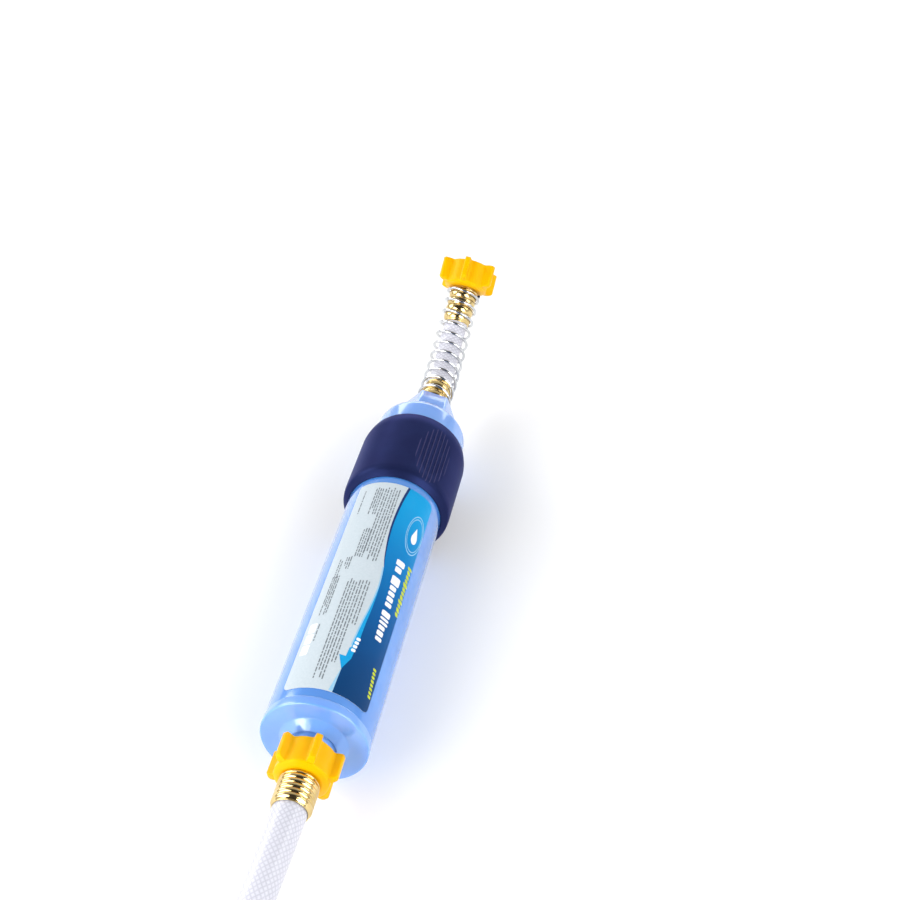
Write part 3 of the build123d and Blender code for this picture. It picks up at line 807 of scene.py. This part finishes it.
EMBLEM = (159.6, 41.5)
build(
    "label_ripples",
    *merge([disc(*EMBLEM, 18.0, 12.2, FILM_R + 0.03, 0.95), disc(*EMBLEM, 15.4, 10.6, FILM_R + 0.03, 0.95)]),
    ink_pale, slot="label_film",
)
white_marks = []
drop = lambda s: 4.2 * math.sqrt(max(0.0, 1 - ((s - 156.5) / 5.0) ** 2)) if s < 158 else max(0.02, 4.0 * (1 - (s - 158) / 8.5))
white_marks.append(
    patch(spread(151.6, 166.4, 20), lambda s: 41.5 - drop(s) - 0.01, lambda s: 41.5 + drop(s) + 0.01, FILM_R + 0.08, 8)
)
lime_marks = []
pen = 132.0
for word in ((5.0, 4.6), (7.2, 3.8, 3.4, 3.8, 3.4), (4.4, 2.0, 2.2, 3.2, 3.8, 3.0)):
    for k, length in enumerate(word):
        middle = 47.7 - 3.6 * (132.0 - pen) / 73.0
        tall = 6.4 if k == 0 or length < 3 else 4.8
        white_marks.append(bar(pen, pen - length, middle + (6.4 - tall) * 0.45, tall, FILM_R + 0.05))
        pen -= length + 1.15
    pen -= 2.6
pen = 133.0
for k in range(12):
    length = 2.4 + 0.9 * ((k * 5) % 3) / 2
    lime_marks.append(bar(pen, pen - length, 33.6 - 1.4 * k / 12, 2.6 + 1.1 * (k % 4 == 0), FILM_R + 0.05, 0.5))
    pen -= length + 0.75
pen = 44.0
for k in range(8):
    lime_marks.append(bar(pen, pen - 1.9, 37.0 - 4.0 * k / 8, 2.5, FILM_R + 0.05, 0.3))
    pen -= 2.75
for k in range(4):
    white_marks.append(bar(57.0 - 3.1 * k, 54.8 - 3.1 * k, 65.8 + 0.5 * k, 2.6, FILM_R + 0.08))
for k in range(3):
    white_marks.append(bar(64.5 - 9.0 * k, 56.5 - 9.0 * k, 119.3, 5.2, FILM_R + 0.05))
build("label_light_print", *merge(white_marks), ink_white, slot="label_film")
build("label_lime_print", *merge(lime_marks), ink_lime, slot="label_film")
# Small print as plain dashes: (first angle, angle between rows, rows, start, end).
dashes = []
for first, gap, rows, start, end in (
    (76.2, 3.1, 4, 192.0, 121.0), (89.0, 3.0, 2, 192.0, 128.0), (95.5, 2.6, 4, 191.0, 164.0), (117.5, 3.0, 1, 189.0, 166.0),
    (92.5, 2.7, 4, 150.0, 123.0), (103.5, 2.6, 3, 123.5, 112.0), (113.5, 3.0, 2, 122.0, 104.0), (74.6, 3.2, 2, 104.0, 66.0),
    (81.5, 3.1, 2, 105.0, 34.0), (88.0, 3.1, 4, 103.0, 20.0), (110.0, 2.5, 4, 106.0, 72.0), (112.3, 2.5, 1, 66.0, 50.0),
):
    for row in range(rows):
        pen = start - 3.0 * random.random()
        stop = end + 9.0 * random.random() * (row % 3 == 2)
        while pen > stop:
            length = min(random.uniform(1.2, 5.2), pen - stop + 0.6)
            if border(pen) + 3.2 < first + gap * row:
                dashes.append(bar(pen, pen - length, first + gap * row, 0.72, FILM_R + 0.04))
            pen -= length + random.uniform(0.5, 0.9)
build("label_small_print", *merge(dashes), ink_grey, slot="label_film")


# ------------------------------------------------------------------ couplings
def winged_nut(name, place, tip, turn, node, body, thread_reference):
    """A moulded swivel nut: a round body, six wings that fade into it, and a threaded mouth."""
    outer = [(20.8, 14.9, 0), (20.75, 15.2, 0.55), (20.5, 15.45, 0.93), (20.1, 15.5, 1.0)]
    outer += [(w, 15.5 + 0.55 * (20.1 - w) / 15, 1.0) for w in (17.5, 15.0, 12.5, 10.0, 7.5)]
    for k in range(7):
        lean = math.radians(15 * k)
        outer.append((5.6 - 2.6 * math.sin(lean), 16.05 + 0.12 * (k < 6), max(0.0, math.cos(lean)) ** 0.8))
    outer += [(2.6, 15.95, 0), (2.1, 15.3, 0), (1.2, 13.3, 0), (0.85, 12.2, 0), (0.8, 11.6, 0)]
    inner = [(0.8, 8.66), (4.9, 8.66), (4.9, 13.85), (10.6, 13.85), (10.7, 13.55), (20.2, 13.55), (20.75, 14.1)]
    wing = [(-2.9, None, 0.05), (-2.35, None, 0.45), (-2.1, None, 1.3), (-1.98, -0.9, None), (-1.75, -0.35, None), (-1.2, -0.05, None), (0, 0, None)]
    wing += [(-t, high, low) for t, high, low in reversed(wing[:-1])]

    def ring(w, radius, grown):
        points = []
        for k in range(6):
            base = math.radians(turn + 60 * k)
            for degrees in (-30, -26, -22, -18, -14):
                points.append((radius, base + math.radians(degrees)))
            for t, high, low in wing:
                rho = tip + high if high is not None else radius + low
                flat_angle = t / radius
                x = t * grown + radius * math.sin(flat_angle) * (1 - grown)
                y = rho * grown + radius * math.cos(flat_angle) * (1 - grown)
                points.append((math.hypot(x, y), base + math.atan2(x, y)))
            for degrees in (14, 18, 22, 26):
                points.append((radius, base + math.radians(degrees)))
        return [place.polar(r, a, w) for r, a in points]

    rings = [ring(w, radius, grown) for w, radius, grown in outer]
    spokes = [math.atan2((p - place.origin).dot(place.up), (p - place.origin).dot(place.right)) for p in rings[0]]
    rings += [[place.polar(r, a, w) for a in spokes] for w, r in inner]
    shape = merge([lofted(rings), thread(place, 13.55, 12.5, 11.6, 19.8, thread_reference)])
    return build(name, *shape, nut_yellow, body, "nut_yellow", (node,), sharp=40)


def beads(start, end, count, crest, dip, samples=12):
    """The outline of rolled beads: round crests between narrow grooves."""
    length = (end - start) / count
    return [
        (dip + (crest - dip) * abs(math.sin(math.pi * t / samples)) ** 0.7, start + length * (k + t / samples))
        for k in range(count)
        for t in range(samples)
    ]


def brass_ferrule(name, place, length, crest, bore, count, node, body):
    """A rolled brass ferrule with a lip and a groove where the hose goes in."""
    outline = rounded([(bore, -length, 0.1), (crest - 1.2, -length, 0.25), (crest - 0.95, -length + 0.4, 0.25), (crest - 1.2, -length + 0.8, 0.2)])
    outline += [(crest - 1.1, -length + 1.2), (crest - 0.6, -length + 1.8)]
    outline += beads(-length + 1.9, -1.7, count, crest, crest - 0.8)
    outline += rounded([(crest - 0.8, -1.7, 0.1), (crest - 0.15, -1.5, 0.3), (crest - 0.15, -0.1, 0.6), (8.68, 0), (8.68, -0.8), (bore, -0.8)])
    return turned(name, outline, place, brass_bright, 96, body=body, slot="brass_bright", nodes=(node,))


outlet_place = Place(outlet_end)
winged_nut("outlet_swivel_nut", outlet_place, 20.9, 9.0, "outlet_nut", "outlet_nut", 29.4 + 2.2087 / 2)
brass_ferrule("outlet_hose_ferrule", outlet_place, 20.0, 11.9, 10.15, 5, "outlet_ferrule", "outlet_hose")

# ------------------------------------------------------------------ hose protector
def toward(turn, rise):
    turn, rise = math.radians(turn), math.radians(rise)
    return Vector((math.sin(turn) * math.cos(rise), math.cos(turn) * math.cos(rise), math.sin(rise)))


guard_first, guard_mid, guard_last = toward(0, 0), toward(1.75, 19.1), toward(6.85, 38.5)
GUARD_RUN = 32.0
guard_start = at(321.5)
bend_start = guard_start + guard_first * 27.0
bend_one = bend_start + guard_first * GUARD_RUN / 2
bend_two = bend_one + guard_mid * GUARD_RUN
bend_end = bend_two + guard_last * GUARD_RUN / 2
guard_end = bend_end + guard_last * 27.0
bend = smooth_line("guard_line", [bend_start, bend_one, bend_two, bend_end])
guard_line = [guard_start + guard_first * k * 3.0 for k in range(9)] + bend
guard_line += [bend_end + guard_last * k * 3.0 for k in range(1, 10)]
guard_place = Place(guard_end, guard_last)
socket_place = Place(guard_start, (0, -1, 0))

winged_nut("inlet_swivel_nut", guard_place, 22.7, INLET_TURN, "inlet_nut", "inlet_nut", 0.0)
brass_ferrule("protector_ferrule_low", socket_place, 27.0, 10.6, 8.8, 4, "protector_lower_ferrule", "filter")
brass_ferrule("protector_ferrule_high", guard_place, 27.0, 10.6, 8.8, 4, "protector_upper_ferrule", "filter")
guard_ends = [guard_start + guard_first] + guard_line[1:-1] + [guard_end - guard_last]
verts, faces, uvs = tube(guard_ends, 8.75, 40, 6.35, 1.5)
build("protector_inner_hose", verts, faces, guard_braid, slot="hose_vinyl", nodes=("protector_hose",), uvs=uvs)

# The spring's pitch falls from the canister to the nut, and its end coils lie flat.
WIRE = 1.1
COIL = 12.15
line, reach = along(guard_line, 0.25)
frames = carried(line)
wire_points = []
angle = math.radians(SPRING_PHASE)
first, last = 1.4, reach[-1] - 2.2
run = first
flat = 0.7 * 2 * math.pi


def wire_at(run, angle):
    point, _, right, up = frames[min(len(frames) - 1, round(run / reach[-1] * (len(frames) - 1)))]
    return point + (right * math.cos(angle) + up * math.sin(angle)) * COIL


for k in range(24):
    wire_points.append(wire_at(first + 1.2 * k / 24, angle - flat * (24 - k) / 24))
while run < last:
    share = (run - first) / (last - first)
    pitch = 9.3 + 3.6 * (1 - share) ** 2.2
    wire_points.append(wire_at(run + 1.2 * (1 - share), angle))
    angle += 2 * math.pi / 36
    run += pitch / 36
for k in range(24):
    wire_points.append(wire_at(last, angle + flat * k / 24))
coarse, _ = along(wire_points, 1.6)
verts, faces, uvs = tube(coarse, WIRE, 10, step=1.6)
build("protector_guard_spring", verts, faces, spring_steel, slot="spring_steel", nodes=("protector_spring",), uvs=uvs, sharp=80)


# ------------------------------------------------------------------ the leader hose's far end
COIL_R = 109.0
LAYER = 20.5
HOSE_R = 10.1
HOSE_Z = 10.8
HEADING = math.radians(10)
landing = at(-147.7, -12.6, HOSE_Z)
entry = landing + Vector((-math.sin(HEADING), -math.cos(HEADING), 0)) * 69.9
middle = entry + Vector((math.cos(HEADING), -math.sin(HEADING), 0)) * COIL_R
far_start = Vector((middle.x + COIL_R, middle.y, HOSE_Z + HOSE_R + 13.45 + 1.2))
far_place = Place(far_start + Vector((0, 24.0, 0)))
far_ferrule = brass_ferrule("leader_far_ferrule", far_place, 24.0, 11.9, 10.15, 6, "far_end_ferrule", "outlet_hose")
stub = lathe(
    rounded(
        [
            (6.4, -21.0), (7.9, -21.0), (7.9, -0.6), (8.6, 0.05), (13.0, 0.1, 0.4), (13.0, 4.2, 0.5), (11.9, 4.8),
            (12.25, 5.4), (12.25, 17.4, 0.5), (11.7, 18.0, 0.4), (6.4, 18.0, 0.4),
        ]
    ),
    far_place, 96,
)
far_coupling = build(
    "leader_male_coupling", *merge([stub, thread(far_place, 12.25, 13.42, 6.6, 17.0)]), brass_bright,
    "outlet_hose", "brass_bright", ("far_end_coupling",),
)

tie_angle = math.radians(270)
tie_across = Vector((math.cos(tie_angle), math.sin(tie_angle), 0))
tie_along = Vector((0, 0, 1)).cross(tie_across)
stack = LAYER + 2 * HOSE_R
tie_place = Place(middle + tie_across * COIL_R + Vector((0, 0, HOSE_Z - HOSE_R + stack / 2 - middle.z)), tie_along, tie_across)
loop = rounded([(-10.6, -20.55, 9.0), (10.6, -20.55, 9.0), (10.6, 20.55, 9.0), (-10.6, 20.55, 9.0)], 8)
rings = []
for grow, w in ((0.1, -5.6), (0.25, -6.0), (0.42, -5.6), (0.42, 5.6), (0.25, 6.0), (0.1, 5.6)):
    rings.append([tie_place.point(x * (1 + grow / 11), y * (1 + grow / 21), w) for x, y in loop])
strap = lofted(rings)
buckle_ring = []
for w, grow in ((-6.9, 0.7), (-6.6, 1.0), (6.6, 1.0), (6.9, 0.7)):
    buckle_ring.append([tie_place.point(11.2 + x * grow, y * grow, w) for x, y in rounded([(-0.6, -5.5, 0.5), (1.5, -5.5, 0.9), (1.5, 5.5, 0.9), (-0.6, 5.5, 0.5)])])
buckle = lofted(buckle_ring, closed=False)
count = len(buckle_ring[0])
buckle[1].append(tuple(range(count)))
buckle[1].append(tuple(3 * count + k for k in range(count)))
strap_paint = Paint("strap_weave", Roughness=0.7)
strap_weave = strap_paint.node("TexWave", wave_type="BANDS", bands_direction="Z")
strap_weave.inputs["Scale"].default_value = 260
strap_weave.inputs["Distortion"].default_value = 1.2
strap_paint.join(strap_paint.coordinate(), strap_weave.inputs["Vector"])
strap_paint.colour(strap_paint.ramp(strap_weave.outputs["Fac"], [(0.2, (0.008, 0.009, 0.012)), (0.8, (0.03, 0.032, 0.04))]))
strap_paint.bump(strap_weave.outputs["Fac"], 0.5, 0.0003)
coil_strap = build("leader_coil_strap", *merge([strap, buckle]), strap_paint.material, "outlet_hose", "strap_black", ("coil_tie",))

# ------------------------------------------------------------------ leader hose, the free cord
hose_controls = [outlet_end + Vector((0, -0.9, 0)), at(-76.4), landing, entry]
TURN_POINTS = 16
coil_turn = 550.0
steps = int(coil_turn / 360 * TURN_POINTS)
for i in range(1, steps + 1):
    turn = coil_turn * i / steps
    angle = math.radians(170 + turn)
    rise = min(1.0, max(0.0, (turn - 265) / 60))
    height = HOSE_Z + LAYER * (3 * rise**2 - 2 * rise**3)
    if turn > 500:
        height += (far_start.z - HOSE_Z - LAYER) * (turn - 500) / 50
    wide = COIL_R / math.cos(math.radians(coil_turn / steps / 2))
    hose_controls.append(middle + Vector((wide * math.cos(angle), wide * math.sin(angle), height - middle.z)))
hose_controls[-1] = far_start.copy()
hose_controls.append(far_start + Vector((0, 21.0, 0)))
hose_line = smooth_line("leader_line", hose_controls)
hose_path, hose_reach = along(hose_line, 5.0)
verts, faces, uvs = tube(hose_line, HOSE_R, 40)
leader_hose = build(
    "leader_hose", verts, faces, hose_braid, "outlet_hose", "hose_vinyl",
    ("outlet_hose_run", "outlet_hose_coil"), uvs=uvs,
)

# ------------------------------------------------------------------ pieces that keep their CAD shape
felt = moulded("pad_felt", (0.62, 0.62, 0.58), (0.78, 0.78, 0.74), (0.8, 0.95), 700, 0.0004)
carbon = moulded("carbon_grains", (0.01, 0.01, 0.01), (0.035, 0.035, 0.035), (0.6, 0.9), 450, 0.0009)
grains = turned_metal("media_grains", (0.35, 0.22, 0.07), (0.62, 0.44, 0.20), (0.3, 0.6))
for material, names in (
    (washer_black, ("socket_washer", "inlet_washer", "outlet_washer")),
    (brass_bright, ("protector_male_coupling", "protector_tailpiece", "outlet_tailpiece")),
    (felt, ("outlet_pad", "divider_pad", "sediment_pad")),
    (carbon, ("carbon_bed",)),
    (grains, ("metal_media_bed",)),
    (inner_white, ("outlet_screen", "inlet_diffuser")),
):
    for name in names:
        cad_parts[name].material_slots[0].material = material

# ------------------------------------------------------------------ floor
bpy.ops.mesh.primitive_plane_add(size=16, location=(0, 0, 0))
floor = bpy.context.object
floor.name = "studio_floor"
floor_paint = Paint("studio_floor", Roughness=0.75, Specular_IOR_Level=0.2)
floor_cloud = floor_paint.noise(floor_paint.coordinate(), 3, 2)
floor_paint.colour(floor_paint.ramp(floor_cloud, [(0.3, (0.915, 0.915, 0.915)), (0.7, (0.935, 0.935, 0.935))]))
floor.data.materials.append(floor_paint.material)
